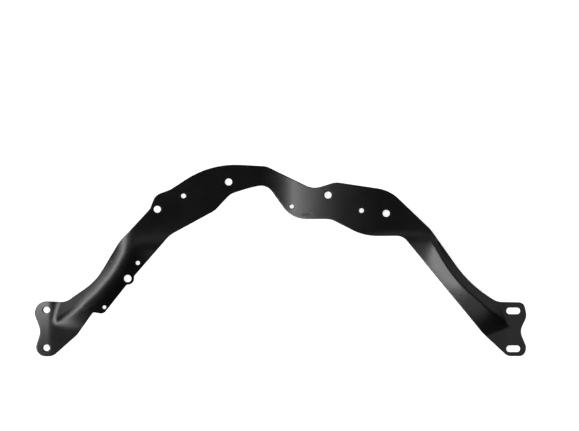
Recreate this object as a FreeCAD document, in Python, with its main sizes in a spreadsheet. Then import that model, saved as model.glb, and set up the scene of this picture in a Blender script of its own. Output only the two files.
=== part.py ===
import FreeCAD, Part

import math
import os

from FreeCAD import Placement, Rotation, Vector

# Engine cowl brace: one pressed steel sheet that spans the two suspension towers.
# A wide web with a joggle runs across, two ridged arms come down from it, and each
# arm ends in a fastening pad.
# Frame: +X along the span, +Y from the pads to the web, +Z up. The brace lies at rest
# on z = 0, on the ends of its pads and on the outer edge of its web.

SIZES = {
    # Pressed sheet
    "sheet_gauge": 2.5,
    # Fastening pads
    "left_stud_x": -479.5,
    "right_stud_x": 477,
    "left_stud_y": -101.3,
    "right_stud_y": -103.3,
    "stud_pitch": 77.6,
    "stud_hole": 13,
    "slot_length": 28.5,
    "slot_width": 13.4,
    "droop_angle": 5,
    "droop_start": 8,
    "droop_bend": 40,
    "pad_overhang": 26.9,
    # Web
    "web_edge_y": 192.85,
    "web_lean": 10,
    "wing_fall": 1.7,
    "joggle_climb": 6.5,
    "joggle_start": -38,
    "joggle_middle": 36,
    "joggle_end": 200,
    # Arms
    "ridge_radius": 276,
    "ridge_bend": 15,
    "left_hip_inset": 17,
    "left_hip_drop": 27,
    "left_heading": 34.6,
    "left_run": 66,
    "right_hip_inset": 14.5,
    "right_hip_drop": 33,
    "right_heading": 39.5,
    "right_run": 93,
    "step_rise": 50,
    "step_turn": 9,
    # Holes in the web and the arms
    "web_hole": 14.3,
    "arm_hole": 15,
    "clip_hole": 9.6,
    "small_hole": 8.4,
    "pilot_hole": 7.4,
    # Soft folds
    "left_shoulder_blend": 20,
    "right_shoulder_blend": 10,
    "left_hip_blend": 8,
    "right_hip_blend": 12,
}

# Reach of the solid stock below each skin, of the tools above it and to either side
stock_depth = 260
clear_height = 170
half_width = 640
# Reach of the web's form and of the pads' form across the span
web_reach = 480
edge_margin = 40
pad_start_y = -60
pad_reach = 220

# Ridge stations of an arm, from beyond the hip to beyond the shoulder. Each has the
# distance along the ridge from the hip, the part of the whole climb reached there, and
# how much the outer and the inner leg of the roof fall per millimetre.
LEFT_STATIONS = [
    (-90, -0.95, 0.20, 0.22),
    (0, 0.00, 0.20, 0.22),
    (32, 0.31, 0.24, 0.24),
    (64, 0.50, 0.30, 0.27),
    (104, 0.65, 0.36, 0.30),
    (148, 0.77, 0.38, 0.30),
    (191, 0.88, 0.38, 0.23),
    (240, 1.00, 0.36, 0.09),
    (293, 1.16, 0.35, 0.03),
    (356, 1.34, 0.35, 0.00),
]
RIGHT_STATIONS = [
    (-90, -0.95, 0.44, 0.20),
    (0, 0.00, 0.44, 0.20),
    (40, 0.32, 0.42, 0.22),
    (90, 0.55, 0.40, 0.26),
    (128, 0.68, 0.38, 0.29),
    (168, 0.79, 0.38, 0.29),
    (208, 0.90, 0.38, 0.22),
    (250, 1.00, 0.36, 0.05),
    (303, 1.17, 0.35, 0.00),
    (366, 1.36, 0.35, -0.03),
]
station_pitch = 24
outer_reach = 75
inner_reach = 95
# Reach of the step's tool along the fold from its foot, and below it
step_forward = 90
step_backward = 150
step_below = 5


def add_sizes(doc):
    sheet = doc.addObject("Spreadsheet::Sheet", "Sizes")
    for row, (name, value) in enumerate(SIZES.items(), start=1):
        sheet.set(f"A{row}", name)
        sheet.set(f"B{row}", str(value))
        sheet.setAlias(f"B{row}", name)
    doc.recompute()
    return sheet


def slope(degrees):
    return math.tan(math.radians(degrees))


def sine(degrees):
    return math.sin(math.radians(degrees))


def cosine(degrees):
    return math.cos(math.radians(degrees))


# Plan of the sheet: corner points with the radius that rounds each, from the left pad
# along the outer edge to the right pad and back along the inner edge.

def left_pad_top(sheet):
    x = sheet.left_stud_x
    y = sheet.left_stud_y
    return [
        (x - 36, y + 19.5, 24),
        (x + 39, y + 16, 30),
    ]


def outer_edge():
    return [
        (-379, -42.5, 120),
        (-331, 38, 80),
        (-268, 105.3, 22),
        (-257, 134, 26),
        (-226.5, 145, 30),
        (-143, 199.4, 185),
        (-29, 193.3, 30),
        (67, 146.4, 40),
        (112.5, 160.8, 40),
        (223.8, 144.3, 77),
        (307.8, 64.2, 80),
        (389.5, -51.5, 250),
    ]


def right_pad_edge(sheet):
    x = sheet.right_stud_x
    y = sheet.right_stud_y
    return [
        (x - 32, y + 18.5, 34),
        (x + 22, y + 17.5, 13),
        (x + 28, y - 11.5, 24),
        (x + 13.5, y - 41.5, 26),
        (x + 27.8, y - 75.5, 20),
        (x + 21.5, y - 92.7, 13),
        (x - 12, y - 92.7, 18),
    ]


def inner_edge():
    return [
        (415.2, -150, 120),
        (250.5, 50.5, 26),
        (171.5, 50, 110),
        (102.5, 85, 40),
        (23, 85, 58),
        (-28.5, 156.5, 28),
        (-64.5, 148.5, 120),
        (-102.5, 136.5, 36),
        (-134.5, 102.3, 40),
        (-227, 52, 50),
    ]


def arm_lobes():
    return [
        (-300, -32, 4),
        (-300.5, -49.5, 12),
        (-315, -49.5, 4),
        (-363, -110, 13),
        (-384, -106, 6),
        (-417, -152.5, 20),
    ]


def left_pad_end(sheet):
    x = sheet.left_stud_x
    y = sheet.left_stud_y
    return [
        (x + 13, y - 95.2, 25),
        (x - 29, y - 95.2, 19),
        (x - 11.5, y - 43.5, 34),
    ]


def rounded_corner(before, corner, after, radius):
    """Start, middle and end of the arc that rounds one corner."""
    to_before = (before - corner).normalize()
    to_after = (after - corner).normalize()
    half = to_before.getAngle(to_after) / 2
    start = corner + to_before * (radius / math.tan(half))
    end = corner + to_after * (radius / math.tan(half))
    bisector = (to_before + to_after).normalize()
    middle = corner + bisector * (radius / math.sin(half) - radius)
    return start, middle, end


def draw_outline(sketch, corners):
    """Closed outline of straight runs, with an arc at every corner that has a radius."""
    points = [Vector(x, y, 0) for x, y, radius in corners]
    turns = []
    for index, (x, y, radius) in enumerate(corners):
        before = points[index - 1]
        after = points[(index + 1) % len(points)]
        if radius:
            turns.append(rounded_corner(before, points[index], after, radius))
        else:
            turns.append((points[index], None, points[index]))
    for index, (start, middle, end) in enumerate(turns):
        if middle is not None:
            sketch.addGeometry(Part.Arc(start, middle, end))
        following = turns[(index + 1) % len(turns)][0]
        if end.distanceToPoint(following) > 1e-6:
            sketch.addGeometry(Part.LineSegment(end, following))


def add_profile(doc, name, corners, origin, across):
    """Upright sketch whose own x runs along a level direction and whose own y is up."""
    sketch = doc.addObject("Sketcher::SketchObject", name)
    draw_outline(sketch, corners)
    up = Vector(0, 0, 1)
    sketch.Placement = Placement(origin, Rotation(across, up, across.cross(up), "ZXY"))
    return sketch


def add_extrusion(doc, name, profile, direction, forward, backward):
    solid = doc.addObject("Part::Extrusion", name)
    solid.Base = profile
    solid.DirMode = "Custom"
    solid.Dir = direction
    solid.LengthFwd = forward
    solid.LengthRev = backward
    solid.Solid = True
    return solid


def add_blank(doc, sheet):
    """Flat shape of the sheet, as a tall prism that trims the pressed form."""
    corners = left_pad_top(sheet) + outer_edge() + right_pad_edge(sheet)
    corners += inner_edge() + arm_lobes() + left_pad_end(sheet)
    body = doc.addObject("PartDesign::Body", "Blank")
    sketch = body.newObject("Sketcher::SketchObject", "BlankPlan")
    plane = [f for f in body.Origin.OriginFeatures if f.Role == "XY_Plane"]
    sketch.AttachmentSupport = (plane[0], [""])
    sketch.MapMode = "FlatFace"
    draw_outline(sketch, corners)
    pad = body.newObject("PartDesign::Pad", "BlankPad")
    pad.Profile = sketch
    pad.Length = 2 * clear_height
    pad.Midplane = True
    return body


# Skins of the pressed form. Heights are those of the upper skin.

def joggle(sheet):
    """Radii of the joggle's valley and crown, and height of its start, middle and end.

    Heights are those of the upper skin at the web's outer edge.
    """
    fall = sheet.wing_fall
    climb = sheet.joggle_climb
    valley = (sheet.joggle_middle - sheet.joggle_start) / (sine(climb) + sine(fall))
    crown = (sheet.joggle_end - sheet.joggle_middle) / sine(climb)
    start = sheet.sheet_gauge + valley * (1 - cosine(fall))
    middle = sheet.sheet_gauge + valley * (1 - cosine(climb))
    end = middle + crown * (1 - cosine(climb))
    return valley, crown, start, middle, end


def web_edge_height(sheet, x):
    """Upper skin at the web's outer edge."""
    valley, crown, start, middle, end = joggle(sheet)
    if x < sheet.joggle_start:
        return start + slope(sheet.wing_fall) * (sheet.joggle_start - x)
    if x < sheet.joggle_middle:
        lowest = sheet.joggle_start + valley * sine(sheet.wing_fall)
        return sheet.sheet_gauge + valley - math.sqrt(valley ** 2 - (x - lowest) ** 2)
    if x < sheet.joggle_end:
        return end - crown + math.sqrt(crown ** 2 - (sheet.joggle_end - x) ** 2)
    return end


def web_height(sheet, x, y):
    """Upper skin of the web."""
    return web_edge_height(sheet, x) + slope(sheet.web_lean) * (sheet.web_edge_y - y)


def pad_height(sheet):
    """Upper skin of the level part of the pads."""
    drooping = sheet.droop_start + sheet.pad_overhang
    return sheet.sheet_gauge / cosine(sheet.droop_angle) + slope(sheet.droop_angle) * drooping


def arc_middle(start, end, radius):
    """Middle of an arc that sags below its chord, or bulges above it if radius is negative."""
    chord = end - start
    half = chord.Length / 2
    sag = radius - math.copysign(math.sqrt(radius ** 2 - half ** 2), radius)
    return start + chord * 0.5 + Vector(chord.y, -chord.x, 0).normalize() * sag


def draw_web_profile(sketch, sheet):
    """Upper skin at the web's outer edge, closed far below."""
    valley, crown, start_height, middle_height, end_height = joggle(sheet)
    start = Vector(sheet.joggle_start, start_height, 0)
    middle = Vector(sheet.joggle_middle, middle_height, 0)
    end = Vector(sheet.joggle_end, end_height, 0)
    wing = half_width + sheet.joggle_start
    straight = [
        end,
        Vector(half_width, end_height, 0),
        Vector(half_width, -stock_depth, 0),
        Vector(-half_width, -stock_depth, 0),
        start + Vector(-wing, wing * slope(sheet.wing_fall), 0),
        start,
    ]
    sketch.addGeometry(Part.Arc(start, arc_middle(start, middle, valley), middle))
    sketch.addGeometry(Part.Arc(middle, arc_middle(middle, end, -crown), end))
    for first, second in zip(straight, straight[1:]):
        sketch.addGeometry(Part.LineSegment(first, second))


def add_web_form(doc, sheet):
    """All that lies below the web's skin, which runs on over the arms."""
    sketch = doc.addObject("Sketcher::SketchObject", "WebProfile")
    draw_web_profile(sketch, sheet)
    sketch.Placement = Placement(Vector(0, sheet.web_edge_y, 0), Rotation(Vector(1, 0, 0), 90))
    direction = Vector(0, -1, slope(sheet.web_lean))
    return add_extrusion(doc, "WebForm", sketch, direction, web_reach, edge_margin)


def add_pad_form(doc, sheet):
    """All that lies below the pads, level between two bends that droop the ends."""
    level = pad_height(sheet)
    left_bend = sheet.left_stud_x + sheet.droop_start
    right_bend = sheet.right_stud_x - sheet.droop_start
    droop = slope(sheet.droop_angle)
    corners = [
        (-half_width, level - droop * (half_width + left_bend), 0),
        (left_bend, level, sheet.droop_bend),
        (right_bend, level, sheet.droop_bend),
        (half_width, level - droop * (half_width - right_bend), 0),
        (half_width, -stock_depth, 0),
        (-half_width, -stock_depth, 0),
    ]
    profile = add_profile(doc, "PadProfile", corners, Vector(0, pad_start_y, 0), Vector(1, 0, 0))
    return add_extrusion(doc, "PadForm", profile, Vector(0, -1, 0), pad_reach, 0)


def left_hip(sheet):
    return Vector(sheet.left_stud_x + sheet.left_hip_inset, sheet.left_stud_y - sheet.left_hip_drop, 0)


def right_hip(sheet):
    return Vector(sheet.right_stud_x - sheet.right_hip_inset, sheet.right_stud_y - sheet.right_hip_drop, 0)


def ridge_point(sheet, arm, distance):
    """Point of the ridge in plan and the level direction to the inner edge there.

    The ridge leaves the hip straight and then follows an arc. Both arms are worked out
    as the left one, and side -1 mirrors the right one.
    """
    heading = math.radians(arm["heading"])
    along = Vector(math.cos(heading), math.sin(heading), 0)
    inward = Vector(along.y, -along.x, 0)
    hip = Vector(arm["hip"].x * arm["side"], arm["hip"].y, 0)
    if distance < arm["run"]:
        point = hip + along * distance
    else:
        centre = hip + along * arm["run"] - inward * sheet.ridge_radius
        bend = (distance - arm["run"]) / sheet.ridge_radius
        inward = Vector(math.sin(heading + bend), -math.cos(heading + bend), 0)
        point = centre + inward * sheet.ridge_radius
    return Vector(point.x * arm["side"], point.y, 0), Vector(inward.x * arm["side"], inward.y, 0)


def shoulder_point(sheet, arm):
    """Where the ridge has the web's height, as its point and the direction inward there."""
    distance = next(station[0] for station in arm["stations"] if station[1] == 1)
    return ridge_point(sheet, arm, distance)


def left_arm(sheet):
    return {
        "side": 1,
        "hip": left_hip(sheet),
        "heading": sheet.left_heading,
        "run": sheet.left_run,
        "stations": LEFT_STATIONS,
    }


def right_arm(sheet):
    return {
        "side": -1,
        "hip": right_hip(sheet),
        "heading": sheet.right_heading,
        "run": sheet.right_run,
        "stations": RIGHT_STATIONS,
    }


def smooth_value(stations, distance, column):
    """One column of the stations between two of them, on a curve through all of them."""
    knots = [station[0] for station in stations]
    values = [station[column] for station in stations]
    last = len(knots) - 1
    low = min(sum(knot <= distance for knot in knots[1:]), last - 1)
    rates = []
    for index in (low, low + 1):
        before = max(index - 1, 0)
        after = min(index + 1, last)
        rates.append((values[after] - values[before]) / (knots[after] - knots[before]))
    width = knots[low + 1] - knots[low]
    part = (distance - knots[low]) / width
    ease = part ** 2 * (3 - 2 * part)
    return (values[low] * (1 - ease) + values[low + 1] * ease
            + rates[0] * width * part * (1 - part) ** 2
            - rates[1] * width * part ** 2 * (1 - part))


def spread(stations):
    """Evenly spaced stations along the ridge."""
    first = stations[0][0]
    length = stations[-1][0] - first
    count = round(length / station_pitch)
    distances = [first + length * number / count for number in range(count + 1)]
    columns = range(1, len(stations[0]))
    return [(at, *(smooth_value(stations, at, column) for column in columns)) for at in distances]


def add_arm_clearance(doc, sheet, name, arm):
    """All that lies above the roof of one arm, lofted through upright stations."""
    low = pad_height(sheet)
    shoulder, inward = shoulder_point(sheet, arm)
    climb = web_height(sheet, shoulder.x, shoulder.y) - low
    profiles = []
    for number, (distance, share, outer_fall, inner_fall) in enumerate(spread(arm["stations"])):
        point, inward = ridge_point(sheet, arm, distance)
        corners = [
            (0, 0, sheet.ridge_bend),
            (inner_reach, -inner_fall * inner_reach, 0),
            (inner_reach, clear_height, 0),
            (-outer_reach, clear_height, 0),
            (-outer_reach, -outer_fall * outer_reach, 0),
        ]
        origin = point + Vector(0, 0, low + share * climb)
        profiles.append(add_profile(doc, f"{name}Station{number}", corners, origin, inward))
    loft = doc.addObject("Part::Loft", name)
    loft.Sections = profiles
    loft.Solid = True
    return loft


def add_step(doc, sheet):
    """What is cut away over the left pad, up to the step at the foot of the outer leg."""
    turn = math.radians(sheet.step_turn)
    along = Vector(math.sin(turn), math.cos(turn), 0)
    lean = 1 / slope(sheet.step_rise)
    corners = [
        (-step_below * lean, -step_below, 0),
        (clear_height * lean, clear_height, 0),
        (-half_width / 2, clear_height, 0),
        (-half_width / 2, -step_below, 0),
    ]
    foot = left_hip(sheet) + Vector(0, 0, pad_height(sheet))
    across = Vector(along.y, -along.x, 0)
    profile = add_profile(doc, "StepProfile", corners, foot, across)
    return add_extrusion(doc, "StepClearance", profile, along, step_forward, step_backward)


def fuse(doc, name, shapes):
    joined = doc.addObject("Part::MultiFuse", name)
    joined.Shapes = shapes
    return joined


def cut(doc, name, base, tool):
    result = doc.addObject("Part::Cut", name)
    result.Base = base
    result.Tool = tool
    return result


def add_form(doc, sheet):
    """Solid of all that lies below the upper skin, trimmed to the outline."""
    web = add_web_form(doc, sheet)
    left_tool = add_arm_clearance(doc, sheet, "LeftArm", left_arm(sheet))
    left = cut(doc, "LeftFormed", web, left_tool)
    stepped = cut(doc, "Stepped", left, add_step(doc, sheet))
    right_tool = add_arm_clearance(doc, sheet, "RightArm", right_arm(sheet))
    right = cut(doc, "RightFormed", stepped, right_tool)
    form = fuse(doc, "Form", [right, add_pad_form(doc, sheet)])
    trimmed = doc.addObject("Part::Common", "Trimmed")
    trimmed.Base = form
    trimmed.Tool = add_blank(doc, sheet)
    doc.recompute()
    return trimmed


# Soft folds. A fold's edges are found by where they pass: places measured from the
# shoulder or the hip, each with how far around it an edge may be.

shoulder_reach = 12
valley_inward = 40
valley_reach = 16
hip_reach = 8
left_foot_offset = Vector(28, -10, 0)
right_foot_offset = Vector(-26, -8, 0)
right_rise_offset = Vector(-8, 30, 0)
# An upright share of the normal above this tells a skin from the sheet's cut edge
skin_upright = 0.3


def fold_edges(shape, places):
    """Numbers of the edges between two skin faces whose middle is near one of the places."""
    numbers = []
    for number, edge in enumerate(shape.Edges, start=1):
        middle = edge.valueAt(sum(edge.ParameterRange) / 2)
        near = any(math.hypot(middle.x - place.x, middle.y - place.y) < reach
                   for place, reach in places)
        faces = shape.ancestorsOfType(edge, Part.Face)
        normals = [face.normalAt(*face.Surface.parameter(middle)) for face in faces]
        if near and all(abs(normal.z) > skin_upright for normal in normals):
            numbers.append(number)
    return numbers


def add_fold(doc, name, base, places, radius):
    fold = doc.addObject("Part::Fillet", name)
    fold.Base = base
    fold.Edges = [(number, radius, radius) for number in fold_edges(base.Shape, places)]
    doc.recompute()
    return fold


def add_folds(doc, sheet, form):
    shoulders = []
    for arm in (left_arm(sheet), right_arm(sheet)):
        point, inward = shoulder_point(sheet, arm)
        shoulders.append([(point, shoulder_reach), (point + inward * valley_inward, valley_reach)])
    left_foot = [(left_hip(sheet) + left_foot_offset, hip_reach)]
    right_hips = [(right_hip(sheet) + offset, hip_reach)
                  for offset in (right_foot_offset, right_rise_offset)]
    form = add_fold(doc, "LeftShoulder", form, shoulders[0], sheet.left_shoulder_blend)
    form = add_fold(doc, "RightShoulder", form, shoulders[1], sheet.right_shoulder_blend)
    form = add_fold(doc, "LeftHip", form, left_foot, sheet.left_hip_blend)
    form = add_fold(doc, "RightHip", form, right_hips, sheet.right_hip_blend)
    return form


def add_sheet_metal(doc, sheet, form):
    """The form less itself, set down by the gauge."""
    lower = doc.addObject("Part::Compound", "LowerSkin")
    lower.Links = [form]
    lower.setExpression("Placement.Base.z", "-Sizes.sheet_gauge")
    return cut(doc, "PressedSheet", form, lower)


# Holes: place in plan and diameter

WEB_HOLES = [
    (-252.7, 105, "web_hole"),
    (-199, 132.4, "clip_hole"),
    (-106.5, 161, "web_hole"),
    (23, 110.8, "small_hole"),
    (97.3, 134, "web_hole"),
    (166, 102.3, "clip_hole"),
    (216.7, 96.5, "web_hole"),
]
ARM_HOLES = [
    (-361, -95.7, "pilot_hole"),
    (-313.3, -37, "arm_hole"),
    (-292.4, -5, "small_hole"),
]
punch_height = 80


def add_punch(doc, name, size, place, normal):
    """Round tool whose middle is on the skin and whose axis is the given normal."""
    punch = doc.addObject("Part::Cylinder", name)
    punch.setExpression("Radius", f"Sizes.{size} / 2")
    punch.Height = punch_height
    turn = Rotation(Vector(0, 0, 1), normal)
    punch.Placement = Placement(place - normal * (punch_height / 2), turn)
    return punch


def add_web_punches(doc, sheet):
    normal = Vector(0, sine(sheet.web_lean), cosine(sheet.web_lean))
    punches = []
    for number, (x, y, size) in enumerate(WEB_HOLES):
        place = Vector(x, y, web_height(sheet, x, y))
        punches.append(add_punch(doc, f"WebPunch{number}", size, place, normal))
    return punches


def add_arm_punches(doc, sheet):
    up = Vector(0, 0, 1)
    height = pad_height(sheet)
    return [add_punch(doc, f"ArmPunch{number}", size, Vector(x, y, height), up)
            for number, (x, y, size) in enumerate(ARM_HOLES)]


def stud_places(sheet, x, y, side):
    """Middles of the two fastening holes of one pad, on its drooping end, and their axis."""
    height = pad_height(sheet) - slope(sheet.droop_angle) * sheet.droop_start
    upper = Vector(x, y, height)
    normal = Vector(side * sine(sheet.droop_angle), 0, cosine(sheet.droop_angle))
    return [upper, upper - Vector(0, sheet.stud_pitch, 0)], normal


def add_left_pad_punches(doc, sheet):
    places, normal = stud_places(sheet, sheet.left_stud_x, sheet.left_stud_y, -1)
    return [add_punch(doc, f"StudPunch{number}", "stud_hole", place, normal)
            for number, place in enumerate(places)]


def add_right_pad_punches(doc, sheet):
    places, normal = stud_places(sheet, sheet.right_stud_x, sheet.right_stud_y, 1)
    half_long = sheet.slot_length / 2
    half_wide = sheet.slot_width / 2
    corners = [
        (-half_long, -half_wide, half_wide),
        (half_long, -half_wide, half_wide),
        (half_long, half_wide, half_wide),
        (-half_long, half_wide, half_wide),
    ]
    half = punch_height / 2
    punches = []
    for number, place in enumerate(places):
        profile = doc.addObject("Sketcher::SketchObject", f"SlotProfile{number}")
        draw_outline(profile, corners)
        profile.Placement = Placement(place, Rotation(Vector(0, 0, 1), normal))
        punches.append(add_extrusion(doc, f"SlotPunch{number}", profile, normal, half, half))
    return punches


def add_brace(doc, sheet, pressed):
    punches = add_web_punches(doc, sheet) + add_arm_punches(doc, sheet)
    punches += add_left_pad_punches(doc, sheet) + add_right_pad_punches(doc, sheet)
    tools = doc.addObject("Part::Compound", "Punches")
    tools.Links = punches
    brace = cut(doc, "cowl_brace", pressed, tools)
    doc.recompute()
    return brace


def check(doc, brace):
    for item in doc.Objects:
        if "Invalid" in item.State or "Error" in item.State:
            raise ValueError(f"{item.Name} failed: {item.State}")
    if brace.Shape.isNull() or not brace.Shape.isValid() or len(brace.Shape.Solids) != 1:
        raise ValueError("cowl_brace is not one valid solid")


def main():
    doc = FreeCAD.newDocument("CowlBrace")
    sheet = add_sizes(doc)
    form = add_folds(doc, sheet, add_form(doc, sheet))
    brace = add_brace(doc, sheet, add_sheet_metal(doc, sheet, form))
    check(doc, brace)
    os.makedirs("parts", exist_ok=True)
    brace.Shape.exportStep("parts/cowl_brace.step")
    print("cowl_brace", round(brace.Shape.Volume), "mm3,", len(brace.Shape.Faces), "faces")


main()
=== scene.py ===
import math

import bpy
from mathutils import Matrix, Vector


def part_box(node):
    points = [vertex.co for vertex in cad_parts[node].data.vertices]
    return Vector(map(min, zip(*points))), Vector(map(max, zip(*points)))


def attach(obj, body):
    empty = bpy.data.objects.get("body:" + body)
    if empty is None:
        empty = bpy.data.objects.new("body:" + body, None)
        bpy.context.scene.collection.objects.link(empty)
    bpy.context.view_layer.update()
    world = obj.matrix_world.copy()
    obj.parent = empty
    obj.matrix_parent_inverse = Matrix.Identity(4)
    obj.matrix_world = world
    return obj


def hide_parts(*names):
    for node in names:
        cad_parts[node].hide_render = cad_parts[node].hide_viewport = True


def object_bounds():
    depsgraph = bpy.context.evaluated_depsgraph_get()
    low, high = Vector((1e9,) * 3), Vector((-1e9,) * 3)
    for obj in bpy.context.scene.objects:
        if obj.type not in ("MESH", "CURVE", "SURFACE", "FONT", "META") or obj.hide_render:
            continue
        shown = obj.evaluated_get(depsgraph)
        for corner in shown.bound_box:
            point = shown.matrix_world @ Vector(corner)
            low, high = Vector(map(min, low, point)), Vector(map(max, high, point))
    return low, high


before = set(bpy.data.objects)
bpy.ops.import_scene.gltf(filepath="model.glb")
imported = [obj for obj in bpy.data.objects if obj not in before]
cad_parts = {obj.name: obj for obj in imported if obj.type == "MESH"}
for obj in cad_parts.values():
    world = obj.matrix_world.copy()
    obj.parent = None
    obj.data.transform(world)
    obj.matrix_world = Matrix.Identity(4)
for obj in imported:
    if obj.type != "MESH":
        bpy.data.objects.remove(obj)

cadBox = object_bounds()
mm = 0.001

# the pressed sheet
braceSheet = {
    "merge": 0.01 * mm,  # points of the solid that are nearer than this become one
    "skinTilt": 0.3,  # least upward share of a normal of the upper skin
    "flatAngle": 1,  # degrees between faces that become one in the flat blank
    "cell": 3.0 * mm,  # spacing of the cuts that give the skin an even mesh
    "rimRound": 0.3 * mm,
    "rimSteps": 2,
    "rimAngle": 55,  # degrees; sharper edges are rounded
    "mostCorners": 4,  # faces with more are cut into triangles
    "smoothAngle": 40,  # degrees
}

# the form that the press gives the sheet: heights of its upper skin, in millimetres, and
# leans, falls and turns in degrees
form = {
    "gauge": 2.5,
    "webEdge": 193.4,
    "webLean": 10,
    "wingFall": 1.7,
    "joggleClimb": 6.5,
    "joggleStart": -42,
    "joggleMiddle": 27,
    "joggleEnd": 200,
    "droop": 5,
    "droopReach": 34.9,  # from a pad's bend to its end
    "leftBend": -471.5,
    "rightBend": 469,
    "twistStart": -91,  # below this y the left pad's droop fades, by this share to the mm
    "twist": 0.007,
    "ridgeRadius": 276,
    "stepFall": 30,  # the step down from the left pad to the foot of the outer leg
    "stepTurn": 11,
    "padsBelow": -60,  # the pads' level reaches up to here in y
    "hipSoft": 3,  # folds are rounded off where the two heights differ by less than this
    "stepSoft": 0.6,
    "droopSoft": 6,
}

# The arms: the hip, the heading of the ridge there, its straight run, the rounding of the
# shoulder, and how much of the inner leg's fall is lost to the millimetre. The stations
# along the ridge give the distance, the share of the climb, the fall of the outer and of
# the inner leg, how far out the ridge lies from its arc, and how far to each side it is
# rounded.
leftArm = {
    "side": 1,
    "hip": (-462.5, -128.3),
    "heading": 34.6,
    "run": 66,
    "shoulderSoft": 12,
    "hollow": 0,
    "stations": [
        (-90, -0.95, 0.30, 0.22, 0, 6),
        (0, 0.00, 0.30, 0.22, 0, 6),
        (32, 0.28, 0.30, 0.24, 0, 8),
        (64, 0.49, 0.33, 0.27, 0, 12),
        (104, 0.65, 0.36, 0.30, 0, 20),
        (148, 0.77, 0.38, 0.30, 2, 24),
        (191, 0.88, 0.38, 0.23, 7, 24),
        (240, 1.00, 0.36, 0.09, 14, 24),
        (293, 1.16, 0.35, 0.03, 20, 24),
        (356, 1.34, 0.35, 0.00, 20, 24),
    ],
}
rightArm = {
    "side": -1,
    "hip": (-462.5, -136.3),
    "heading": 39.5,
    "run": 93,
    "shoulderSoft": 6,
    "hollow": 0.008,
    "stations": [
        (-90, -0.95, 0.44, 0.20, 6, 2),
        (0, 0.00, 0.44, 0.20, 6, 2),
        (40, 0.32, 0.42, 0.22, 6, 2),
        (90, 0.55, 0.40, 0.26, 8, 2),
        (128, 0.68, 0.38, 0.29, 8, 2),
        (168, 0.79, 0.38, 0.29, 8, 3),
        (208, 0.90, 0.38, 0.25, 8, 4),
        (250, 1.00, 0.36, 0.10, 8, 6),
        (303, 1.17, 0.35, 0.03, 8, 6),
        (366, 1.36, 0.35, -0.03, 8, 6),
    ],
}
shoulderStation = 7  # the station whose share of the climb is 1


def slope(degrees):
    return math.tan(math.radians(degrees))


# lower or higher of two heights, with the fold between them rounded off
def softLower(first, second, soft):
    near = max(soft - abs(first - second), 0)
    return min(first, second) - near ** 2 / (4 * soft)


def softHigher(first, second, soft):
    return -softLower(-first, -second, soft)


def webHeight(x, y):
    fall = math.radians(form["wingFall"])
    climb = math.radians(form["joggleClimb"])
    valley = (form["joggleMiddle"] - form["joggleStart"]) / (math.sin(climb) + math.sin(fall))
    crown = (form["joggleEnd"] - form["joggleMiddle"]) / math.sin(climb)
    start = form["gauge"] + valley * (1 - math.cos(fall))
    end = form["gauge"] + (valley + crown) * (1 - math.cos(climb))
    if x < form["joggleStart"]:
        edge = start + math.tan(fall) * (form["joggleStart"] - x)
    elif x < form["joggleMiddle"]:
        lowest = form["joggleStart"] + valley * math.sin(fall)
        edge = form["gauge"] + valley - math.sqrt(valley ** 2 - (x - lowest) ** 2)
    elif x < form["joggleEnd"]:
        edge = end - crown + math.sqrt(crown ** 2 - (form["joggleEnd"] - x) ** 2)
    else:
        edge = end
    return edge + slope(form["webLean"]) * (form["webEdge"] - y)


def padLevel():
    stand = form["gauge"] / math.cos(math.radians(form["droop"]))
    return stand + slope(form["droop"]) * form["droopReach"]


def padHeight(x, y):
    level = padLevel()
    droop = slope(form["droop"])
    right = droop * softHigher(x - form["rightBend"], 0, form["droopSoft"])
    fade = 1 - form["twist"] * max(form["twistStart"] - y, 0)
    left = droop * fade * softHigher(form["leftBend"] - x, 0, form["droopSoft"])
    return level - left - right


# one column of the stations, on a curve through all of them
def smoothValue(stations, distance, column):
    last = len(stations) - 1
    low = min(sum(station[0] <= distance for station in stations[1:]), last - 1)
    rates = []
    for index in (low, low + 1):
        before = stations[max(index - 1, 0)]
        after = stations[min(index + 1, last)]
        rates.append((after[column] - before[column]) / (after[0] - before[0]))
    width = stations[low + 1][0] - stations[low][0]
    part = (distance - stations[low][0]) / width
    ease = part ** 2 * (3 - 2 * part)
    return (stations[low][column] * (1 - ease) + stations[low + 1][column] * ease
            + rates[0] * width * part * (1 - part) ** 2
            - rates[1] * width * part ** 2 * (1 - part))


# a place as the distance along the ridge and the distance from it towards the bay
def alongAndAcross(arm, x, y):
    heading = math.radians(arm["heading"])
    along = Vector((math.cos(heading), math.sin(heading)))
    inward = Vector((along.y, -along.x))
    hip = Vector(arm["hip"])
    place = Vector((x * arm["side"], y)) - hip
    if place.dot(along) < arm["run"]:
        return place.dot(along), place.dot(inward)
    place -= along * arm["run"] - inward * form["ridgeRadius"]
    bend = math.atan2(place.x, -place.y) - heading
    return arm["run"] + bend * form["ridgeRadius"], place.length - form["ridgeRadius"]


def ridgePoint(arm, distance):
    heading = math.radians(arm["heading"])
    along = Vector((math.cos(heading), math.sin(heading)))
    inward = Vector((along.y, -along.x))
    turned = heading + (distance - arm["run"]) / form["ridgeRadius"]
    centre = Vector(arm["hip"]) + along * arm["run"] - inward * form["ridgeRadius"]
    point = centre + Vector((math.sin(turned), -math.cos(turned))) * form["ridgeRadius"]
    return point.x * arm["side"], point.y


def roofHeight(arm, distance, across):
    stations = arm["stations"]
    distance = min(max(distance, stations[0][0]), stations[-1][0])
    columns = range(1, len(stations[0]))
    values = [smoothValue(stations, distance, column) for column in columns]
    share, outerFall, innerFall, out, soft = values
    inner = softHigher(across + out, 0, soft)
    inner -= arm["hollow"] * inner ** 2 / 2
    outer = softHigher(-across - out, 0, soft)
    return padLevel() + share * arm["climb"] - innerFall * inner - outerFall * outer


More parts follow.
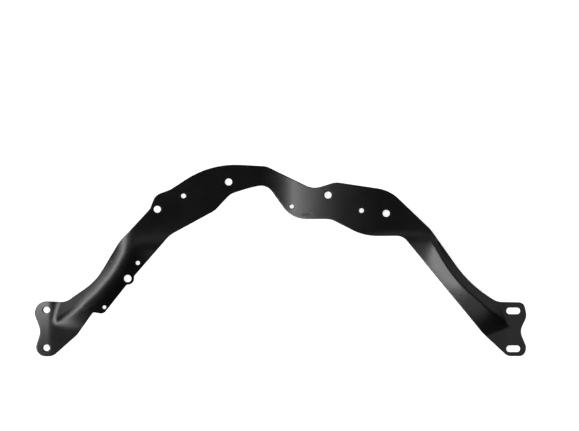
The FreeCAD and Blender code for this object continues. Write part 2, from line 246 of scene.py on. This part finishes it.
# the left pad ends at a step, which goes down to the outer leg
def stepHeight(x, y):
    turn = math.radians(form["stepTurn"])
    hipX, hipY = leftArm["hip"]
    across = (x - hipX) * math.cos(turn) - (y - hipY) * math.sin(turn)
    return padLevel() - slope(form["stepFall"]) * across


def skinHeight(x, y):
    arm = leftArm if x < 0 else rightArm
    distance, across = alongAndAcross(arm, x, y)
    height = softLower(webHeight(x, y), roofHeight(arm, distance, across), arm["shoulderSoft"])
    if y > form["padsBelow"]:
        return height
    pad = padHeight(x, y)
    if x < 0 and across < 0:
        pad = softLower(pad, stepHeight(x, y), form["stepSoft"])
    return softHigher(height, pad, form["hipSoft"])


def deselectAll():
    if bpy.context.object and bpy.context.object.mode != "OBJECT":
        bpy.ops.object.mode_set(mode="OBJECT")
    bpy.ops.object.select_all(action="DESELECT")


def workOn(piece):
    deselectAll()
    piece.select_set(True)
    bpy.context.view_layer.objects.active = piece


def copyNode(nodeName, pieceName):
    piece = bpy.data.objects.new(pieceName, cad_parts[nodeName].data.copy())
    bpy.context.scene.collection.objects.link(piece)
    workOn(piece)
    return piece


def applyModifier(piece, name, kind, **values):
    modifier = piece.modifiers.new(name, kind)
    for key, value in values.items():
        setattr(modifier, key, value)
    bpy.ops.object.modifier_apply(modifier=name)


# keeps only the upper skin of the solid, laid flat: the blank that goes into the press
def cutBlank(piece):
    bpy.ops.object.mode_set(mode="EDIT")
    bpy.ops.mesh.select_all(action="SELECT")
    bpy.ops.mesh.remove_doubles(threshold=braceSheet["merge"])
    bpy.ops.mesh.select_mode(type="FACE")
    bpy.ops.mesh.select_all(action="DESELECT")
    bpy.ops.object.mode_set(mode="OBJECT")
    for face in piece.data.polygons:
        face.select = face.normal.z < braceSheet["skinTilt"]
    bpy.ops.object.mode_set(mode="EDIT")
    bpy.ops.mesh.delete(type="FACE")
    bpy.ops.mesh.select_all(action="SELECT")
    bpy.ops.transform.resize(value=(1, 1, 0), center_override=(0, 0, 0))
    bpy.ops.mesh.dissolve_limited(angle_limit=math.radians(braceSheet["flatAngle"]))
    bpy.ops.object.mode_set(mode="OBJECT")


# cuts the blank across and along, so that the press can bend it anywhere
def cutEvenly(low, high):
    cell = braceSheet["cell"]
    bpy.ops.object.mode_set(mode="EDIT")
    for axis in (0, 1):
        normal = Vector((0, 0, 0))
        normal[axis] = 1
        for number in range(1, int((high[axis] - low[axis]) / cell) + 1):
            bpy.ops.mesh.select_all(action="SELECT")
            bpy.ops.mesh.bisect(plane_co=normal * (low[axis] + number * cell), plane_no=normal)
    bpy.ops.object.mode_set(mode="OBJECT")


# the blank takes the press's form, straight up, so its outline stays where it is in plan
def pressBlank(piece):
    for arm in (leftArm, rightArm):
        shoulder = ridgePoint(arm, arm["stations"][shoulderStation][0])
        arm["climb"] = webHeight(*shoulder) - padLevel()
    for point in piece.data.vertices:
        point.co.z += skinHeight(point.co.x / mm, point.co.y / mm) * mm


def buildBraceSheet():
    piece = copyNode("cowl_brace", "braceSheet")
    cutBlank(piece)
    applyModifier(piece, "wall", "SOLIDIFY", thickness=form["gauge"] * mm, offset=-1)
    applyModifier(piece, "rim", "BEVEL", width=braceSheet["rimRound"],
                  segments=braceSheet["rimSteps"], limit_method="ANGLE",
                  angle_limit=math.radians(braceSheet["rimAngle"]))
    cutEvenly(*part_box("cowl_brace"))
    pressBlank(piece)
    applyModifier(piece, "facets", "TRIANGULATE", min_vertices=braceSheet["mostCorners"] + 1)
    bpy.ops.object.shade_smooth_by_angle(angle=math.radians(braceSheet["smoothAngle"]))
    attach(piece, "root")
    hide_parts("cowl_brace")
    print("sheet has", len(piece.data.polygons), "faces")
    return piece


# The black coat. Sizes of the fine waves, clouds and specks are counts to the metre, and
# each low and high value is where a noise starts and ends to count.
blackCoat = {
    "colour": (0.0025, 0.0025, 0.0026, 1),
    "gloss": 0.5,
    "roughness": 0.2,
    "roughnessSpread": 0.03,
    "peelSize": 700,
    "peelDetail": 2,
    "peelHeight": 0.1 * mm,
    "peelDepth": 0.03,
    "cloudSize": 22,
    "cloudDetail": 4,
    "cloudLow": 0.3,
    "cloudHigh": 0.7,
    "dustColour": (0.02, 0.02, 0.021, 1),
    "dustSize": 900,
    "dustDetail": 1,
    "dustLow": 0.78,
    "dustHigh": 0.86,
}

# marks of wear: a dull smear near the edge of the joggle and a pale nick on the left arm
wear = {
    "smear": {
        "Place": (55 * mm, 94 * mm, 22 * mm),
        "Reach": (16 * mm, 5 * mm, 20 * mm),
        "Ragged": 0.6,
    },
    "smearRoughness": 0.4,
    "nick": {
        "Place": (-346.5 * mm, -2 * mm, 20 * mm),
        "Reach": (1.1 * mm, 1.1 * mm, 20 * mm),
        "Ragged": 0.1,
    },
    "nickColour": (0.28, 0.28, 0.28, 1),
    "ragSize": 2,
    "ragDetail": 3,
    "full": 0.4,  # a mark is full up to this share of its reach, and ends at this one
    "end": 1.4,
}


def addNode(tree, kind, place, **values):
    node = tree.nodes.new(kind)
    node.location = place
    for key, value in values.items():
        setattr(node, key, value)
    return node


def link(tree, source, output, target, socket):
    tree.links.new(source.outputs[output], target.inputs[socket])


# a group with its inputs and its one output, a reader of the place on the piece among them
def startGroup(name, inputs, output):
    group = bpy.data.node_groups.new(name, "ShaderNodeTree")
    for inputName, kind in inputs.items():
        group.interface.new_socket(name=inputName, in_out="INPUT", socket_type=kind)
    group.interface.new_socket(name=output, in_out="OUTPUT", socket_type="NodeSocketFloat")
    inside = addNode(group, "NodeGroupInput", (-1100, 0))
    place = addNode(group, "ShaderNodeTexCoord", (-1100, 250))
    outside = addNode(group, "NodeGroupOutput", (200, 0))
    return group, inside, place, outside


def addNoise(tree, place, detail):
    noise = addNode(tree, "ShaderNodeTexNoise", place, noise_dimensions="3D")
    noise.inputs["Detail"].default_value = detail
    return noise


def addRange(tree, place, low, high, **values):
    spread = addNode(tree, "ShaderNodeMapRange", place, **values)
    spread.inputs["From Min"].default_value = low
    spread.inputs["From Max"].default_value = high
    return spread


# fine waves of a dipped and baked coat
def makePeelGroup():
    inputs = {"Waves": "NodeSocketFloat"}
    group, inside, place, outside = startGroup("coatPeel", inputs, "Height")
    peel = addNoise(group, (-450, 0), blackCoat["peelDetail"])
    link(group, place, "Object", peel, "Vector")
    link(group, inside, "Waves", peel, "Scale")
    link(group, peel, "Fac", outside, "Height")
    return group


# slow changes of gloss over the surface
def makeCloudGroup():
    inputs = {"Clouds": "NodeSocketFloat", "Low": "NodeSocketFloat", "High": "NodeSocketFloat"}
    group, inside, place, outside = startGroup("coatClouds", inputs, "Value")
    cloud = addNoise(group, (-450, 0), blackCoat["cloudDetail"])
    spread = addRange(group, (-200, 0), blackCoat["cloudLow"], blackCoat["cloudHigh"])
    link(group, place, "Object", cloud, "Vector")
    link(group, inside, "Clouds", cloud, "Scale")
    link(group, cloud, "Fac", spread, "Value")
    link(group, inside, "Low", spread, "To Min")
    link(group, inside, "High", spread, "To Max")
    link(group, spread, "Result", outside, "Value")
    return group


# specks of dust, few and small
def makeDustGroup():
    inputs = {"Specks": "NodeSocketFloat"}
    group, inside, place, outside = startGroup("coatDust", inputs, "Mask")
    specks = addNoise(group, (-450, 0), blackCoat["dustDetail"])
    fewer = addRange(group, (-200, 0), blackCoat["dustLow"], blackCoat["dustHigh"])
    link(group, place, "Object", specks, "Vector")
    link(group, inside, "Specks", specks, "Scale")
    link(group, specks, "Fac", fewer, "Value")
    link(group, fewer, "Result", outside, "Mask")
    return group


# a mark of wear: a round or long spot with a ragged edge, at a place of the surface
def makeSpotGroup():
    inputs = {"Place": "NodeSocketVector", "Reach": "NodeSocketVector", "Ragged": "NodeSocketFloat"}
    group, inside, place, outside = startGroup("coatSpot", inputs, "Mask")
    offset = addNode(group, "ShaderNodeVectorMath", (-900, 100), operation="SUBTRACT")
    scaled = addNode(group, "ShaderNodeVectorMath", (-720, 100), operation="DIVIDE")
    distance = addNode(group, "ShaderNodeVectorMath", (-540, 100), operation="LENGTH")
    rag = addNoise(group, (-540, -150), wear["ragDetail"])
    rag.inputs["Scale"].default_value = wear["ragSize"]
    bend = addNode(group, "ShaderNodeMath", (-360, -150), operation="MULTIPLY")
    reach = addNode(group, "ShaderNodeMath", (-200, 0), operation="ADD")
    fade = addRange(group, (-20, 0), wear["end"], wear["full"], interpolation_type="SMOOTHSTEP")
    link(group, place, "Object", offset, 0)
    link(group, inside, "Place", offset, 1)
    link(group, offset, "Vector", scaled, 0)
    link(group, inside, "Reach", scaled, 1)
    link(group, scaled, "Vector", distance, 0)
    link(group, scaled, "Vector", rag, "Vector")
    link(group, rag, "Fac", bend, 0)
    link(group, inside, "Ragged", bend, 1)
    link(group, distance, "Value", reach, 0)
    link(group, bend, "Value", reach, 1)
    link(group, reach, "Value", fade, "Value")
    link(group, fade, "Result", outside, "Mask")
    return group


def placeGroup(tree, group, place, **values):
    node = addNode(tree, "ShaderNodeGroup", place, node_tree=group)
    for key, value in values.items():
        node.inputs[key].default_value = value
    return node


def makeBlackCoat():
    material = bpy.data.materials.new("blackCoat")
    material.use_nodes = True
    tree = material.node_tree
    shader = tree.nodes["Principled BSDF"]
    shader.inputs["Metallic"].default_value = 0
    shader.inputs["Specular IOR Level"].default_value = blackCoat["gloss"]
    spot = makeSpotGroup()

    # the gloss, duller at the smear
    halfSpread = blackCoat["roughnessSpread"] / 2
    clouds = placeGroup(tree, makeCloudGroup(), (-500, 0), Clouds=blackCoat["cloudSize"],
                        Low=blackCoat["roughness"] - halfSpread,
                        High=blackCoat["roughness"] + halfSpread)
    smear = placeGroup(tree, spot, (-500, -550), **wear["smear"])
    duller = addNode(tree, "ShaderNodeMix", (-250, 0), data_type="FLOAT")
    duller.inputs["B"].default_value = wear["smearRoughness"]
    link(tree, smear, "Mask", duller, "Factor")
    link(tree, clouds, "Value", duller, "A")
    link(tree, duller, "Result", shader, "Roughness")

    # the fine waves
    peel = placeGroup(tree, makePeelGroup(), (-500, -300), Waves=blackCoat["peelSize"])
    bump = addNode(tree, "ShaderNodeBump", (-250, -300))
    bump.inputs["Strength"].default_value = blackCoat["peelDepth"]
    bump.inputs["Distance"].default_value = blackCoat["peelHeight"]
    link(tree, peel, "Height", bump, "Height")
    link(tree, bump, "Normal", shader, "Normal")

    # the colour, with dust and the nick
    dust = placeGroup(tree, makeDustGroup(), (-500, 300), Specks=blackCoat["dustSize"])
    dusty = addNode(tree, "ShaderNodeMix", (-250, 300), data_type="RGBA")
    dusty.inputs["A"].default_value = blackCoat["colour"]
    dusty.inputs["B"].default_value = blackCoat["dustColour"]
    link(tree, dust, "Mask", dusty, "Factor")
    nick = placeGroup(tree, spot, (-250, 560), **wear["nick"])
    nicked = addNode(tree, "ShaderNodeMix", (-50, 400), data_type="RGBA")
    nicked.inputs["B"].default_value = wear["nickColour"]
    link(tree, nick, "Mask", nicked, "Factor")
    link(tree, dusty, "Result", nicked, "A")
    link(tree, nicked, "Result", shader, "Base Color")
    return material


# the floor and the wall round it
studio = {
    "floorRadius": 12,
    "wallHeight": 4,
    "sides": 96,
    "white": (0.8, 0.8, 0.8, 1),
    "roughness": 0.9,
    "glow": 0.8,
}


def makeStudioWhite():
    material = bpy.data.materials.new("studioWhite")
    material.use_nodes = True
    tree = material.node_tree
    shader = tree.nodes["Principled BSDF"]
    shader.inputs["Base Color"].default_value = studio["white"]
    shader.inputs["Roughness"].default_value = studio["roughness"]
    shader.inputs["Specular IOR Level"].default_value = 0
    shader.inputs["Emission Color"].default_value = (1, 1, 1, 1)
    path = addNode(tree, "ShaderNodeLightPath", (-700, -200))
    first = addNode(tree, "ShaderNodeMath", (-500, -200), operation="MAXIMUM")
    both = addNode(tree, "ShaderNodeMath", (-350, -200), operation="MAXIMUM")
    level = addNode(tree, "ShaderNodeMath", (-200, -200), operation="MULTIPLY")
    level.inputs[1].default_value = studio["glow"]
    link(tree, path, "Is Camera Ray", first, 0)
    link(tree, path, "Is Glossy Ray", first, 1)
    link(tree, first, "Value", both, 0)
    link(tree, path, "Is Transmission Ray", both, 1)
    link(tree, both, "Value", level, 0)
    link(tree, level, "Value", shader, "Emission Strength")
    return material


def buildFloor():
    ground = cadBox[0][2]
    deselectAll()
    bpy.ops.mesh.primitive_circle_add(vertices=studio["sides"], radius=studio["floorRadius"],
                                      fill_type="NGON", location=(0, 0, ground))
    floor = bpy.context.object
    floor.name = "studioFloor"
    return floor


# open at both ends, facing inwards
def buildWall():
    ground = cadBox[0][2]
    deselectAll()
    bpy.ops.mesh.primitive_cylinder_add(vertices=studio["sides"], radius=studio["floorRadius"],
                                        depth=studio["wallHeight"], end_fill_type="NOTHING",
                                        location=(0, 0, ground + studio["wallHeight"] / 2))
    wall = bpy.context.object
    wall.name = "studioWall"
    workOn(wall)
    bpy.ops.object.mode_set(mode="EDIT")
    bpy.ops.mesh.select_all(action="SELECT")
    bpy.ops.mesh.flip_normals()
    bpy.ops.object.mode_set(mode="OBJECT")
    return wall


# lamps: radiance is how bright the panel itself looks; one that faces no place looks down
lamps = {
    "strip": {"place": (-1.95, -2.2, 7), "size": (0.95, 12), "radiance": 8.3},
    "stripSide": {"place": (-3.05, -2.2, 7), "size": (1.2, 12), "radiance": 2.2},
    "leftPanel": {"place": (-5.4, 2.4, 6.6), "size": (3.2, 6), "radiance": 1.5, "faces": (0, 0, 0)},
    "rightPanel": {"place": (5.0, 3.4, 6.6), "size": (4.5, 6), "radiance": 0.6, "faces": (0, 0, 0)},
    "rightTop": {"place": (2.3, -0.1, 7), "size": (4.2, 1.3), "radiance": 0.7},
    "frontPanel": {"place": (-0.32, -3.75, 7), "size": (1.15, 2), "radiance": 0.9},
    "lowFront": {"place": (0.5, -8, 2.6), "size": (6, 2.4), "radiance": 1.5, "faces": (0, 0, 0)},
    "lowBack": {"place": (-0.5, 8, 2.6), "size": (6, 2.4), "radiance": 4, "faces": (0, 0, 0)},
}
roomLight = 0.012


def addLamps():
    for name, lamp in lamps.items():
        light = bpy.data.lights.new(name, "AREA")
        light.shape = "RECTANGLE"
        light.size, light.size_y = lamp["size"]
        light.energy = lamp["radiance"] * math.pi * light.size * light.size_y
        holder = bpy.data.objects.new(name, light)
        holder.location = lamp["place"]
        if "faces" in lamp:
            aim = Vector(lamp["faces"]) - Vector(lamp["place"])
            holder.rotation_euler = aim.to_track_quat("-Z", "Y").to_euler()
        bpy.context.scene.collection.objects.link(holder)


def addRoomLight():
    world = bpy.data.worlds.new("room")
    world.use_nodes = True
    background = world.node_tree.nodes["Background"]
    background.inputs["Color"].default_value = (1, 1, 1, 1)
    background.inputs["Strength"].default_value = roomLight
    bpy.context.scene.world = world


# straight down, as the picture was taken
view = {"x": 18.45 * mm, "y": 92.25 * mm, "height": 3, "width": 1186.95 * mm, "farthest": 100}


def addCamera():
    camera = bpy.data.cameras.new("fromAbove")
    camera.type = "ORTHO"
    camera.ortho_scale = view["width"]
    camera.clip_end = view["farthest"]
    holder = bpy.data.objects.new("fromAbove", camera)
    holder.location = (view["x"], view["y"], view["height"])
    bpy.context.scene.collection.objects.link(holder)
    bpy.context.scene.camera = holder


brace = buildBraceSheet()
brace.data.materials.clear()
brace.data.materials.append(makeBlackCoat())
print("sheet and coat are done")

studioWhite = makeStudioWhite()
for backdrop in (buildFloor(), buildWall()):
    backdrop.data.materials.append(studioWhite)
addLamps()
addRoomLight()
addCamera()
bpy.context.scene.view_settings.view_transform = "Standard"
print("studio is done")
